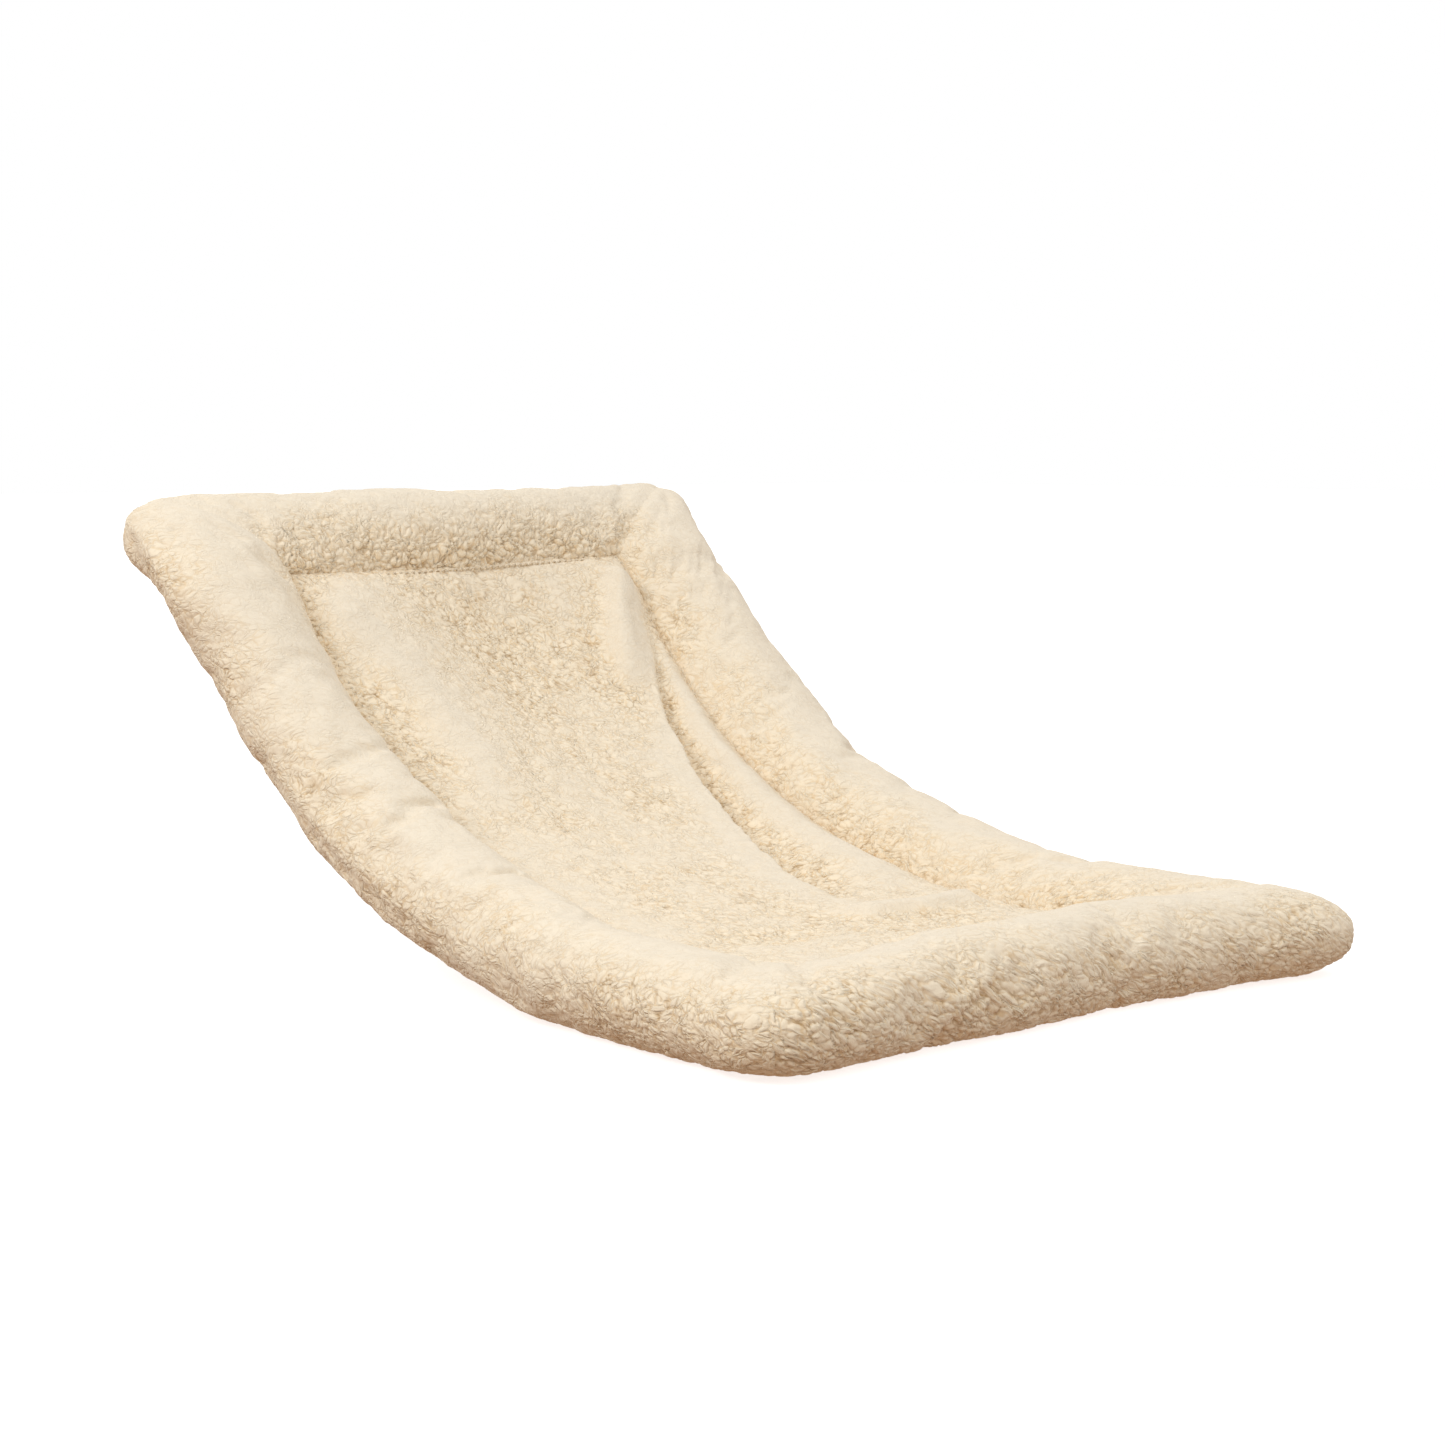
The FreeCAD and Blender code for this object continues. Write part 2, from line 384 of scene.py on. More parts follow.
def rim_section(side, rows, columns, slack):
    """Grid of points of a rim's cover: a flattened oval, pinched at the mitres. Slack makes
    it flatter and wider, as the cover lies before it is filled."""
    along = np.linspace(0, 1, rows).reshape(-1, 1)
    turn = np.linspace(0, 2 * math.pi, columns, endpoint=False).reshape(1, -1)
    to_mitre = np.minimum(along, 1 - along) * rim_length(side)
    slack = slack * (1 - np.exp(-to_mitre / 0.030))
    out = COVER_INSET + (RIM_WIDTH / 2 - COVER_INSET) * (1 - np.cos(turn))
    x, u = rim_plan(side, along, out + 0 * along)
    pinch = np.where(u < LENGTH / 2, HEAD_PINCH, FOOT_PINCH) * np.exp(-to_mitre / 0.010)
    pinch = pinch * (1 - 0.85 * out / RIM_WIDTH)
    # the outer edge is blunt at the corners, where two rims push into each other
    bluntness = np.where(u < LENGTH / 2, HEAD_BLUNT, FOOT_BLUNT)
    blunt = 1 - bluntness * np.exp(-(to_mitre / 0.045) ** 2) * (np.cos(turn) < 0)
    rise = np.sign(np.sin(turn)) * np.abs(np.sin(turn)) ** blunt * (1 - pinch)
    rise = rise * (RIM_THICKNESS / 2 - COVER_INSET - slack)
    # the ends run on square to the mitre, and end just under the cover of the other rim
    past = MITRE_OVERLAP * np.exp(-to_mitre / 0.004)
    inward = past * (1 + 0.8 * out / RIM_WIDTH)
    if side in ("left", "right"):
        x = x + (slack * out / RIM_WIDTH - inward) * np.sign(x)
        u = u + past * np.sign(along - 0.5)
    else:
        x = x + past * np.sign(along - 0.5)
        u = u + (slack * out / RIM_WIDTH - inward) * np.sign(u - LENGTH / 2)
    return mat_point(x, u, np.maximum(rise, COVER_INSET - RIM_UNDERSIDE))


def stuffed_rim(side):
    """Coarse grid of a rim's cover after stuffing, from a cloth simulation."""
    rows = int(rim_length(side) / COARSE)
    columns = RIM_COLUMNS
    grid = rim_section(side, rows, columns, COVER_SLACK)
    lumps = sum(height * noisy(grid, size, seed) for height, size, seed in LUMPS)
    ease = ramp(np.minimum(np.arange(rows), np.arange(rows)[::-1]), 0, 4).reshape(-1, 1)
    grid = grid + outward(grid) * (lumps * ease)[..., None]
    points, faces = tube_parts(grid)
    seam = [row * columns for row in range(rows)]
    end_rings = [row * columns + j for row in (0, rows - 1) for j in range(columns)]
    hubs = [rows * columns, rows * columns + 1]
    points = inflated(points, faces, seam + end_rings + hubs, PRESSURE, SPARE_CLOTH, MOST_MOVE)
    points[:, 2] = np.maximum(points[:, 2], 0.001)      # the floor holds it up
    return points[:-2].reshape(rows, columns, 3)


def rim_coat(side, grid):
    """How curly a rim's pile is at each point: brushed out smooth on its crest, curly beside
    its seam, low on its outer face and round one corner."""
    turn = np.linspace(0, 360, grid.shape[1], endpoint=False).reshape(1, -1)
    coat = 0.85 - 0.75 * bell(turn, *CRESTS[side])
    from_corner = np.linalg.norm(grid - TUFTED_CORNER, axis=-1)
    return patchy(coat + 0.35 * bell(from_corner, 0, 0.055), grid)


def patchy(coat, grid):
    """Curliness broken into soft patches and flecks."""
    patches = 0.35 * noisy(grid, 0.045, 3)
    flecks = 0.22 * noisy(grid, 0.011, 10)
    return np.clip(coat + patches + flecks, 0.25, 1.0)


def rim_cover(side, material):
    """Fleece tube of a rim: curly outside, plain lining inside."""
    stuffed = stuffed_rim(side)
    whole = np.linalg.norm(np.diff(stuffed, axis=0), axis=-1).sum(0).mean()
    girth = np.linalg.norm(stuffed - np.roll(stuffed, 1, axis=1), axis=-1).sum(1).mean()
    spacing = math.sqrt(whole * girth / PILE_QUADS)
    grid = refined(stuffed, int(whole / spacing), int(girth / spacing), True)
    out = outward(grid)
    coat = rim_coat(side, grid)
    grid = grid + out * (0.0008 * noisy(grid, 0.013, 11))[..., None]
    outer, pile = pile_on(grid, out, coat, *RIMS[side])
    lining = stuffed - outward(stuffed) * FLEECE
    points, faces = tube_parts(outer)
    inner_points, inner_faces = tube_parts(lining, len(points))
    piece = new_piece(side + "_rim_fleece", np.concatenate([points, inner_points]),
                      faces + inner_faces, material)
    set_attributes(piece, pile)
    add_piece(piece, side + "_rim_cover")
    return piece, lining


def rim_filling(side, lining, material):
    """Lumpy fibre stuffing just inside a rim's lining."""
    rows, columns = lining.shape[:2]
    grid = refined(lining, rows * 2, columns * 2, True)
    tufts = 0.0006 + 0.0012 * np.abs(noisy(grid, 0.012, 4))
    grid = grid - outward(grid) * tufts[..., None]
    points, faces = tube_parts(grid[4:-4])
    piece = new_piece(side + "_rim_stuffing", points, faces, material)
    add_piece(piece, side + "_rim_fill")


# ---------------------------------------------------------------- sleeping panel

def off_line(x, u, line):
    """Signed distance of points from a line on the mat, positive on its +X side, and the
    share of the line's length at the nearest place."""
    best = np.full(np.broadcast(x, u).shape, 1e9)
    signed = np.zeros_like(best)
    share = np.zeros_like(best)
    line = np.array(line)
    lengths = np.linalg.norm(np.diff(line, axis=0), axis=1)
    passed = np.concatenate([[0], np.cumsum(lengths)]) / lengths.sum()
    for k in range(len(line) - 1):
        (x0, u0), (x1, u1) = line[k], line[k + 1]
        dx, du = (x1 - x0) / lengths[k], (u1 - u0) / lengths[k]
        t = np.clip((x - x0) * dx + (u - u0) * du, 0, lengths[k])
        gap = np.hypot(x - x0 - t * dx, u - u0 - t * du)
        nearer = gap < best
        best = np.where(nearer, gap, best)
        side = np.sign((x - x0) * du - (u - u0) * dx)
        signed = np.where(nearer, gap * side, signed)
        share = np.where(nearer, passed[k] + t / lengths[k] * (passed[k + 1] - passed[k]), share)
    return signed, share


# Folds of the loose panel, as points x, u on the mat
CREASE = ((0.121, 0.085), (0.112, 0.130), (0.097, 0.166), (0.077, 0.217), (0.058, 0.275),
          (0.043, 0.340), (0.032, 0.385), (0.034, 0.428))
PUFF = ((0.112, 0.088), (0.091, 0.122), (0.080, 0.150), (0.068, 0.190))
NEAR_FOLD = ((-0.118, 0.085), (-0.093, 0.127), (-0.077, 0.175), (-0.073, 0.225), (-0.083, 0.300))
FOOT_FOLD = ((0.006, 0.455), (0.060, 0.466), (0.112, 0.462))
TUCK = 0.005                            # how far the panel's edges reach in under the rims
PANEL_SIDE = SEAM + TUCK
PANEL_HEAD = RIM_WIDTH - TUCK
PANEL_EDGE = 0.0005                     # height of the panel's edges
PANEL_PILE = (0.0042, 0.0011, (0.7, -0.5, 0.2), 1.2)     # as in RIMS

# Heights of the panel's parts
PADDING = 0.007                         # level ground between the folds
VALLEY_DEPTH = 0.0105                   # from the crease down to the valley's bottom
ROLL = 0.0065                           # beside the right seam
LIP = 0.0035                            # along the crease
HEAD_HOLLOW = 0.009
FOOT_DIP = 0.004
PUFF_FOLD = (0.010, 0.008, 0.018)       # height, and width to the left and to the right
NEAR_RIDGE = (0.0075, 0.020, 0.036)
FOOT_PLEAT = (0.008, 0.008, 0.018)


def ridge(signed, height, left, right):
    """Raised fold along a line, with its own width each side."""
    return height * np.exp(-(signed / np.where(signed < 0, left, right)) ** 2)


def ends(share, start, end):
    """Fades a fold in and out over shares of its length."""
    return ramp(share, 0, start) * ramp(1 - share, 0, end)


def panel_height(x, u):
    """Height of the panel's top on the mat: soft padding, loose folds, and dips to the seams."""
    crease, crease_share = off_line(x, u, CREASE)
    crease = crease + 0.0022 * noisy(mat_point(x, u, 0 * crease), 0.022, 12)
    puff, puff_share = off_line(x, u, PUFF)
    near, near_share = off_line(x, u, NEAR_FOLD)
    foot, foot_share = off_line(x, u, FOOT_FOLD)
    height = PADDING + 0 * crease
    # right: the panel drops at a crease into a valley, and rolls up again beside the seam
    across = np.maximum(crease, 0) / (np.maximum(crease, 0) + np.maximum(SEAM - x, 0) + 1e-6)
    deep = ramp(crease_share, 0.05, 0.45) * ramp(1 - crease_share, 0.0, 0.12)
    deep = deep * (1 + 0.25 * noisy(mat_point(x, u, 0 * crease), 0.050, 13))
    drop = VALLEY_DEPTH * deep * ramp(crease, 0, 0.006) * (1 - ramp(across, 0.05, 0.62))
    height += ROLL * deep * bell(across, 0.68, 0.24) - drop
    lip = np.where(crease < 0, np.exp(-(crease / 0.020) ** 2), 1 - ramp(crease, 0, 0.006))
    height += LIP * deep * lip
    # head: a puff in the right corner, a broad ridge from the left corner, a hollow between
    height += ridge(puff, *PUFF_FOLD) * ends(puff_share, 0.10, 0.40)
    height += ridge(near, *NEAR_RIDGE) * ends(near_share, 0.15, 0.35)
    height -= HEAD_HOLLOW * bell(x, 0.014, 0.055) * bell(u, 0.135, 0.070)
    # foot: a pleat on the right and a shallow dip on the left
    height += ridge(foot, *FOOT_PLEAT) * ends(foot_share, 0.2, 0.2)
    height -= FOOT_DIP * bell(x, -0.045, 0.050) * bell(u, 0.460, 0.018)
    crown = 1 - np.exp(-seam_distance(x, u) / 0.008)
    return PANEL_EDGE + (height - PANEL_EDGE) * crown


def blurred(field, passes):
    """Field averaged with its neighbours, many times over."""
    for axis in (0, 1):
        for _ in range(passes):
            edge = np.concatenate([field.take([0], axis), field, field.take([-1], axis)], axis)
            middle = edge.take(range(1, edge.shape[axis] - 1), axis)
            field = (edge.take(range(edge.shape[axis] - 2), axis) + 2 * middle
                     + edge.take(range(2, edge.shape[axis]), axis)) / 4
    return field


def panel_plan():
    """x and u of a coarse grid over the panel."""
    step = COARSE / 2
    x = np.linspace(-PANEL_SIDE, PANEL_SIDE, int(2 * SEAM / step)).reshape(1, -1)
    u = np.linspace(PANEL_HEAD, LENGTH - PANEL_HEAD, int(PANEL_LENGTH / step)).reshape(-1, 1)
    return x, u


def seam_distance(x, u):
    """How far points of the panel are from its nearest edge."""
    across = np.minimum(PANEL_SIDE - x, PANEL_SIDE + x)
    return np.maximum(np.minimum(across, np.minimum(u - PANEL_HEAD, LENGTH - PANEL_HEAD - u)), 0)


def add_piece(piece, node):
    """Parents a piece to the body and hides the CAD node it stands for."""
    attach(piece, "root")
    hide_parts(node)


def sleeping_panel(material):
    """Curly fleece panel, loose enough to fold, over the wadding. Returns the height of its
    underside."""
    x, u = panel_plan()
    height = panel_height(x, u)
    level = mat_point(x, u, height)
    height = height + 0.0015 * noisy(level, 0.035, 5) * ramp(seam_distance(x, u), 0, 0.015)
    coarse = mat_point(x, u, height)
    under_height = height - FLEECE * ramp(seam_distance(x, u), 0, 0.008)
    under = mat_point(x, u, under_height)
    spacing = math.sqrt(2 * SEAM * PANEL_LENGTH / PILE_QUADS)
    rows, columns = int(PANEL_LENGTH / spacing), int(2 * SEAM / spacing)
    grid = refined(coarse, rows, columns, False)
    out = normals(grid, False)
    out = out * np.sign(out[..., 2].mean())
    raised = (height - blurred(height, 120))[..., None]
    coat = patchy(0.72 - refined(raised, rows, columns, False)[..., 0] / 0.007, grid)
    grid = grid + out * (0.0006 * noisy(grid, 0.009, 11))[..., None]
    top, pile = pile_on(grid, out, coat, *PANEL_PILE)
    points, faces = slab_parts(top, refined(under, *top.shape[:2], False))
    piece = new_piece("sleeping_fleece", points, faces, material)
    set_attributes(piece, pile)
    add_piece(piece, "sleeping_panel")
    return under_height


CROPPED = 5                             # grid lines by which the wadding ends short of the edges


def panel_padding(fleece_under, material):
    """Layer of wadding that fills the room between the fleece panel and the base cloth."""
    x, u = panel_plan()
    inside = ramp(seam_distance(x, u), 0, 0.016)
    top_height = fleece_under - 0.0006
    top = mat_point(x, u, top_height)
    tufts = 0.0008 * np.abs(noisy(top, 0.010, 8)) * inside
    bottom_height = np.minimum(top_height - 0.001, base_height(x, u) + 0.0012 + tufts)
    keep = (slice(CROPPED, -CROPPED), slice(CROPPED, -CROPPED))
    points, faces = slab_parts(mat_point(x, u, top_height - tufts)[keep],
                               mat_point(x, u, bottom_height)[keep])
    piece = new_piece("panel_padding", points, faces, material)
    add_piece(piece, "panel_wadding")


def base_height(x, u):
    """Height of the base cloth: flat under the wadding, and up to the seams at its edges."""
    return -0.001 - (BASE_DEPTH - 0.001) * (1 - np.exp(-seam_distance(x, u) / 0.008))


def base_cloth(material):
    """Plain woven cloth under the panel, sewn to the rims all round."""
    x, u = panel_plan()
    height = base_height(x, u)
    waves = 0.0008 * noisy(mat_point(x, u, height), 0.045, 9)
    height = height + waves * ramp(seam_distance(x, u), 0, 0.03)
    points, faces = slab_parts(mat_point(x, u, height), mat_point(x, u, height - BASE_CLOTH))
    piece = new_piece("base_cloth", points, faces, material)
    add_piece(piece, "base_panel")


def seam_thread(material):
    """Row of lock stitches round the panel: a thread that dips in and out of the fleece."""
    inset = 0.0015
    low_x, high_x = -SEAM + inset, SEAM - inset
    low_u, high_u = RIM_WIDTH + inset, LENGTH - RIM_WIDTH - inset
    corners = [(low_x, low_u), (high_x, low_u), (high_x, high_u), (low_x, high_u)]
    points, faces = np.zeros((0, 3)), []
    for start, end in zip(corners, corners[1:] + corners[:1]):
        long = math.hypot(end[0] - start[0], end[1] - start[1])
        t = np.linspace(0, 1, int(long / STITCH * 6)).reshape(-1, 1)
        x = start[0] + (end[0] - start[0]) * t
        u = start[1] + (end[1] - start[1]) * t
        n = 0.0030 + 0.0011 * np.cos(2 * math.pi * t * long / STITCH)
        line = mat_point(x, u, n)[:, 0]
        ring = tube_round(line, THREAD / 2, 6)
        more_points, more_faces = tube_parts(ring, len(points))
        points = np.concatenate([points, more_points])
        faces += more_faces
    piece = new_piece("seam_stitches", points, faces, material)
    add_piece(piece, "rim_seam_thread")


def tube_round(line, radius, sides):
    """Closed grid of a round tube along a line of points."""
    ahead = np.gradient(line, axis=0)
    ahead /= np.linalg.norm(ahead, axis=1, keepdims=True)
    side = np.cross(ahead, (0.3, 0.2, 1.0))
    side /= np.linalg.norm(side, axis=1, keepdims=True)
    up = np.cross(side, ahead)
    turn = np.linspace(0, 2 * math.pi, sides, endpoint=False).reshape(1, -1, 1)
    return line[:, None] + radius * (side[:, None] * np.cos(turn) + up[:, None] * np.sin(turn))


# ---------------------------------------------------------------- materials

SMALL_CURL = 0.0036                 # curls drawn by the material
CURL_SWIRL = 0.0020                 # how far a swirl pulls them about
# cloth colours; the shade colours are painted shade in the gaps of the weave
BASE_COLOUR = (0.62, 0.46, 0.31, 1)
BASE_SHADE = (0.40, 0.28, 0.18, 1)
THREAD_COLOUR = (0.86, 0.74, 0.57, 1)
THREAD_SHADE = (0.62, 0.50, 0.35, 1)


def principled(name, roughness):
    """New material with a Principled shader, and its nodes and links."""
    material = bpy.data.materials.new(name)
    material.use_nodes = True
    shader = material.node_tree.nodes["Principled BSDF"]
    shader.inputs["Roughness"].default_value = roughness
    return material, material.node_tree.nodes, material.node_tree.links, shader


def add_node(nodes, kind, inputs=None, **settings):
    """Node of a kind with its settings and the given input values."""
    node = nodes.new(kind)
    for key, value in settings.items():
        setattr(node, key, value)
    for key, value in (inputs or {}).items():
        node.inputs[key].default_value = value
    return node


def groove(nodes, links, cells, curly, width):
    """Grooves between cells, 1 at their bottoms, where the pile is curly."""
    near = add_node(nodes, "ShaderNodeMapRange", {"From Max": width, "To Min": 1.0, "To Max": 0.0},
                    interpolation_type="SMOOTHSTEP")
    links.new(cells.outputs["Distance"], near.inputs["Value"])
    depth = add_node(nodes, "ShaderNodeMath", operation="MULTIPLY")
    links.new(near.outputs["Result"], depth.inputs[0])
    links.new(curly.outputs["Value"], depth.inputs[1])
    return depth


def fleece_material():
    """Cream curly pile: light tips, painted warm shade in its thin crevices, fine fibres."""
    material, nodes, links, shader = principled("sherpa_fleece", 0.95)
    shader.inputs["Sheen Weight"].default_value = 0.20
    shader.inputs["Sheen Roughness"].default_value = 0.6
    shader.inputs["Sheen Tint"].default_value = (1.0, 0.95, 0.88, 1.0)
    shader.inputs["Specular IOR Level"].default_value = 0.15
    pile = add_node(nodes, "ShaderNodeAttribute", attribute_name="pile")
    coat = add_node(nodes, "ShaderNodeAttribute", attribute_name="coat")
    lay = add_node(nodes, "ShaderNodeAttribute", attribute_name="lay")
    place = add_node(nodes, "ShaderNodeTexCoord")
    # small curls: cells pulled about by a swirl, with grooves between them
    swirl = add_node(nodes, "ShaderNodeTexNoise", {"Scale": 330.0, "Detail": 1.0})
    links.new(lay.outputs["Vector"], swirl.inputs["Vector"])
    centred = add_node(nodes, "ShaderNodeVectorMath", operation="SUBTRACT")
    centred.inputs[1].default_value = (0.5, 0.5, 0.5)
    links.new(swirl.outputs["Color"], centred.inputs[0])
    pulled = add_node(nodes, "ShaderNodeVectorMath", operation="MULTIPLY_ADD")
    pulled.inputs[1].default_value = (CURL_SWIRL,) * 3
    links.new(centred.outputs["Vector"], pulled.inputs[0])
    links.new(lay.outputs["Vector"], pulled.inputs[2])
    cells = add_node(nodes, "ShaderNodeTexVoronoi", {"Scale": 1 / SMALL_CURL},
                     feature="DISTANCE_TO_EDGE")
    links.new(pulled.outputs["Vector"], cells.inputs["Vector"])
    # grooves come and go, and only show where the pile is curly
    breaks = add_node(nodes, "ShaderNodeTexNoise", {"Scale": 160.0, "Detail": 1.0})
    links.new(place.outputs["Object"], breaks.inputs["Vector"])
    kept = add_node(nodes, "ShaderNodeMapRange", {"From Min": 0.28, "From Max": 0.52})
    links.new(breaks.outputs["Fac"], kept.inputs["Value"])
    curly = add_node(nodes, "ShaderNodeMath", operation="MULTIPLY")
    links.new(kept.outputs["Result"], curly.inputs[0])
    links.new(coat.outputs["Fac"], curly.inputs[1])
    crevice = groove(nodes, links, cells, curly, 0.11)
    valley = groove(nodes, links, cells, curly, 0.30)
    # colour: from the raised pile, with painted shade down in its crevices and along the grooves,
    # warmer where it is curly
    tones = add_node(nodes, "ShaderNodeValToRGB")
    tips = tones.color_ramp.elements
    # painted shade: the pile is darker and warmer where it is low, down in its crevices
    tips[0].position, tips[0].color = 0.1, (0.62, 0.475, 0.31, 1)
    tips[1].position, tips[1].color = 0.9, (0.955, 0.86, 0.71, 1)
    middle = tips.new(0.5)
    middle.color = (0.94, 0.83, 0.67, 1)
    links.new(pile.outputs["Fac"], tones.inputs["Fac"])
    # painted shade along the grooves between the small curls
    groove_shaded = add_node(nodes, "ShaderNodeMix", data_type="RGBA", blend_type="MULTIPLY")
    groove_shaded.inputs["B"].default_value = (0.87, 0.78, 0.65, 1)
    links.new(crevice.outputs["Value"], groove_shaded.inputs["Factor"])
    links.new(tones.outputs["Color"], groove_shaded.inputs["A"])
    tint = add_node(nodes, "ShaderNodeMix", data_type="RGBA")
    tint.inputs["A"].default_value = (0.885, 0.872, 0.855, 1)
    tint.inputs["B"].default_value = (1.0, 0.955, 0.875, 1)
    links.new(coat.outputs["Fac"], tint.inputs["Factor"])
    tinted = add_node(nodes, "ShaderNodeMix", {"Factor": 1.0}, data_type="RGBA",
                      blend_type="MULTIPLY")
    links.new(groove_shaded.outputs["Result"], tinted.inputs["A"])
    links.new(tint.outputs["Result"], tinted.inputs["B"])
    links.new(tinted.outputs["Result"], shader.inputs["Base Color"])
    # bump: the grooves, and combed fibres over everything
    fibres = add_node(nodes, "ShaderNodeTexNoise",
                      {"Scale": 520.0, "Detail": 3.0, "Distortion": 1.2})
    links.new(lay.outputs["Vector"], fibres.inputs["Vector"])
    raised = add_node(nodes, "ShaderNodeMath", operation="MULTIPLY_ADD")
    raised.inputs[1].default_value = 0.8
    links.new(fibres.outputs["Fac"], raised.inputs[0])
    links.new(valley.outputs["Value"], raised.inputs[2])
    bump = add_node(nodes, "ShaderNodeBump", {"Strength": 0.70, "Distance": 0.0010}, invert=True)
    links.new(raised.outputs["Value"], bump.inputs["Height"])
    links.new(bump.outputs["Normal"], shader.inputs["Normal"])
    return material


def stuffing_material():
    """White polyester fibre."""
    material, nodes, links, shader = principled("fibre_fill", 0.9)
    place = add_node(nodes, "ShaderNodeTexCoord")
    fibres = add_node(nodes, "ShaderNodeTexNoise",
                      {"Scale": 260.0, "Detail": 6.0, "Distortion": 2.0})
    links.new(place.outputs["Object"], fibres.inputs["Vector"])
    tones = add_node(nodes, "ShaderNodeValToRGB")
    tones.color_ramp.elements[0].color = (0.72, 0.72, 0.70, 1)
    tones.color_ramp.elements[1].color = (0.93, 0.93, 0.91, 1)
    links.new(fibres.outputs["Fac"], tones.inputs["Fac"])
    links.new(tones.outputs["Color"], shader.inputs["Base Color"])
    bump = add_node(nodes, "ShaderNodeBump", {"Strength": 0.7, "Distance": 0.001})
    links.new(fibres.outputs["Fac"], bump.inputs["Height"])
    links.new(bump.outputs["Normal"], shader.inputs["Normal"])
    return material


def woven_material(name, colour, dark, pitch):
    """Plain weave of two crossing sets of threads, with painted shade in the gaps between them."""
    material, nodes, links, shader = principled(name, 0.85)
    place = add_node(nodes, "ShaderNodeTexCoord")
    waves = []
    for direction in ("X", "Y"):
        wave = add_node(nodes, "ShaderNodeTexWave", {"Scale": 0.314 / pitch, "Distortion": 0.6},
                        bands_direction=direction)
        links.new(place.outputs["Object"], wave.inputs["Vector"])
        waves.append(wave)
    weave = add_node(nodes, "ShaderNodeMath", operation="MAXIMUM")
    links.new(waves[0].outputs["Fac"], weave.inputs[0])
    links.new(waves[1].outputs["Fac"], weave.inputs[1])
    # painted shade: the dark colour goes in the gaps where neither set of threads lies
    tones = add_node(nodes, "ShaderNodeValToRGB")
    tones.color_ramp.elements[0].color = dark
    tones.color_ramp.elements[1].color = colour
    links.new(weave.outputs["Value"], tones.inputs["Fac"])
    links.new(tones.outputs["Color"], shader.inputs["Base Color"])
    bump = add_node(nodes, "ShaderNodeBump", {"Strength": 0.6, "Distance": 0.0004})
    links.new(weave.outputs["Value"], bump.inputs["Height"])
    links.new(bump.outputs["Normal"], shader.inputs["Normal"])
    return material


# ---------------------------------------------------------------- stage

AIM = Vector((0.0551, 0.0373, 0.118))
AZIMUTH = math.radians(-41.5)
ELEVATION = math.radians(5.94)
DISTANCE = 1.536
KEY_PLACE = (-1.8, 0.0, 1.3)
KEY_SIZE = 0.6
KEY_POWER = 10.5


def add_camera():
    """Camera at the reference viewing angle."""
    data = bpy.data.cameras.new("camera")
    data.lens = 67.2
    data.sensor_width = 36.0
    camera = bpy.data.objects.new("camera", data)
    bpy.context.scene.collection.objects.link(camera)
    level = math.cos(ELEVATION)
    back = Vector((math.sin(AZIMUTH) * level, -math.cos(AZIMUTH) * level, math.sin(ELEVATION)))
    camera.location = AIM + back * DISTANCE
    camera.rotation_euler = back.to_track_quat("Z", "Y").to_euler()
    bpy.context.scene.camera = camera


def add_key_light():
    """Square soft light that faces the bed from its left."""
    data = bpy.data.lights.new("key", "AREA")
    data.size = KEY_SIZE
    data.energy = KEY_POWER
    light = bpy.data.objects.new("key", data)
    bpy.context.scene.collection.objects.link(light)
    light.location = KEY_PLACE
    light.rotation_euler = (Vector(KEY_PLACE) - AIM).to_track_quat("Z", "Y").to_euler()


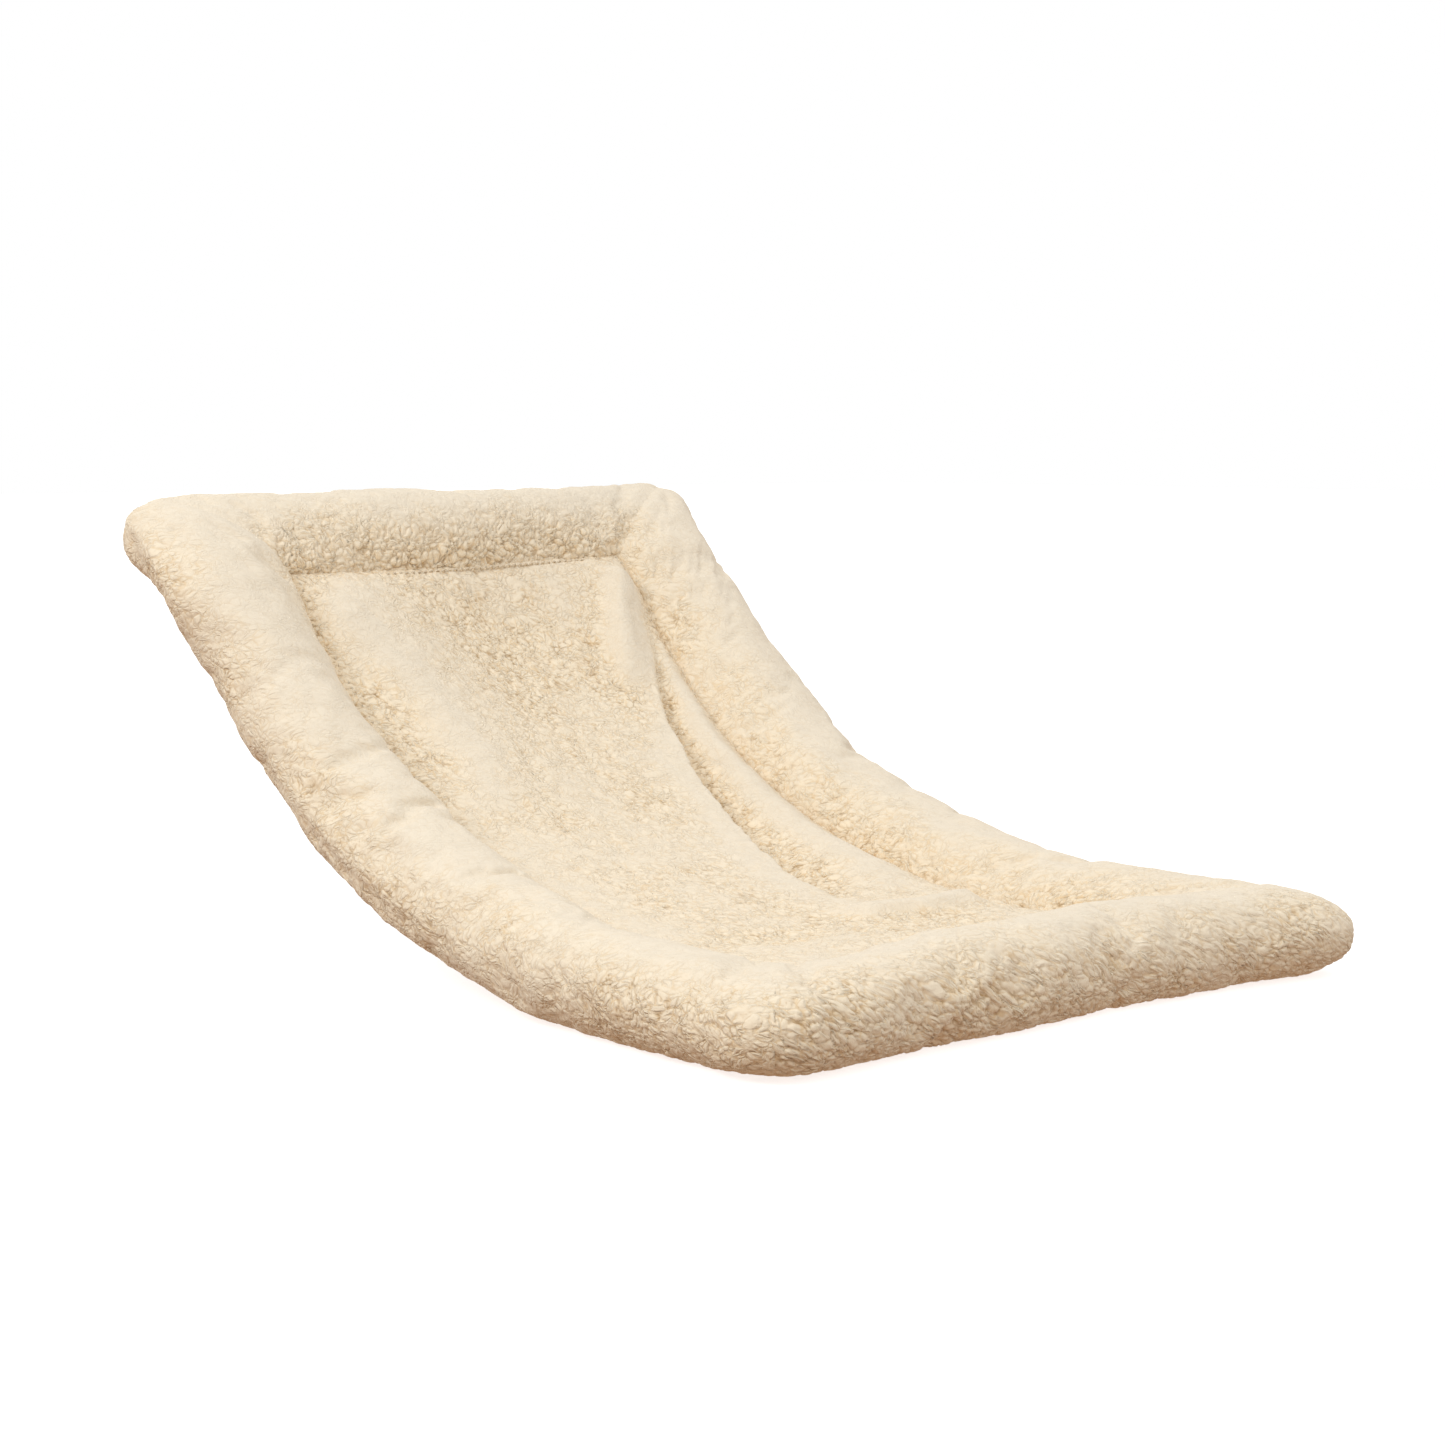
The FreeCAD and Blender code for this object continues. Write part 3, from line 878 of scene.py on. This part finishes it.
def add_world():
    """White surroundings: the camera sees plain white, and the bed is lit more from above."""
    world = bpy.data.worlds.new("studio")
    world.use_nodes = True
    nodes, links = world.node_tree.nodes, world.node_tree.links
    nodes["Background"].inputs["Color"].default_value = (1, 1, 1, 1)
    place = add_node(nodes, "ShaderNodeTexCoord")
    parts = add_node(nodes, "ShaderNodeSeparateXYZ")
    links.new(place.outputs["Generated"], parts.inputs["Vector"])
    height = add_node(nodes, "ShaderNodeMapRange", {"From Min": -0.5, "From Max": 0.5})
    links.new(parts.outputs["Z"], height.inputs["Value"])
    glow = add_node(nodes, "ShaderNodeValToRGB")
    glow.color_ramp.elements[0].color = (0.34, 0.18, 0.08, 1)
    glow.color_ramp.elements[1].color = (0.96, 0.96, 0.96, 1)
    glow.color_ramp.elements.new(0.5).color = (0.61, 0.605, 0.60, 1)
    links.new(height.outputs["Result"], glow.inputs["Fac"])
    lighting = add_node(nodes, "ShaderNodeBackground", {"Strength": 1.03})
    links.new(glow.outputs["Color"], lighting.inputs["Color"])
    paths = add_node(nodes, "ShaderNodeLightPath")
    chosen = add_node(nodes, "ShaderNodeMixShader")
    links.new(paths.outputs["Is Camera Ray"], chosen.inputs["Fac"])
    links.new(lighting.outputs["Background"], chosen.inputs[1])
    links.new(nodes["Background"].outputs["Background"], chosen.inputs[2])
    links.new(chosen.outputs["Shader"], nodes["World Output"].inputs["Surface"])
    bpy.context.scene.world = world


def add_floor():
    """Plain white floor, level with the underside of the bed."""
    reach = 12.0
    corners = [(-reach, -reach, 0), (reach, -reach, 0), (reach, reach, 0), (-reach, reach, 0)]
    mesh = bpy.data.meshes.new("floor")
    mesh.from_pydata(corners, [], [(0, 1, 2, 3)])
    floor = bpy.data.objects.new("floor", mesh)
    bpy.context.scene.collection.objects.link(floor)
    floor.visible_diffuse = False
    material, nodes, links, shader = principled("floor", 0.8)
    shader.inputs["Base Color"].default_value = (0.60, 0.60, 0.60, 1)
    shader.inputs["Emission Color"].default_value = (1, 1, 1, 1)
    shader.inputs["Emission Strength"].default_value = 0.75
    mesh.materials.append(material)


def main():
    """Build the bed round the CAD frame, then the stage."""
    noise.seed_set(SWIRL_SEED)
    fleece = fleece_material()
    stuffing = stuffing_material()
    for side in RIMS:
        cover, lining = rim_cover(side, fleece)
        rim_filling(side, lining, stuffing)
    fleece_under = sleeping_panel(fleece)
    panel_padding(fleece_under, stuffing)
    base_cloth(woven_material("base_cloth", BASE_COLOUR, BASE_SHADE, 0.0010))
    seam_thread(woven_material("sewing_thread", THREAD_COLOUR, THREAD_SHADE, 0.0006))
    add_camera()
    bpy.context.scene.view_settings.view_transform = "Standard"
    add_world()
    add_floor()
    add_key_light()


main()
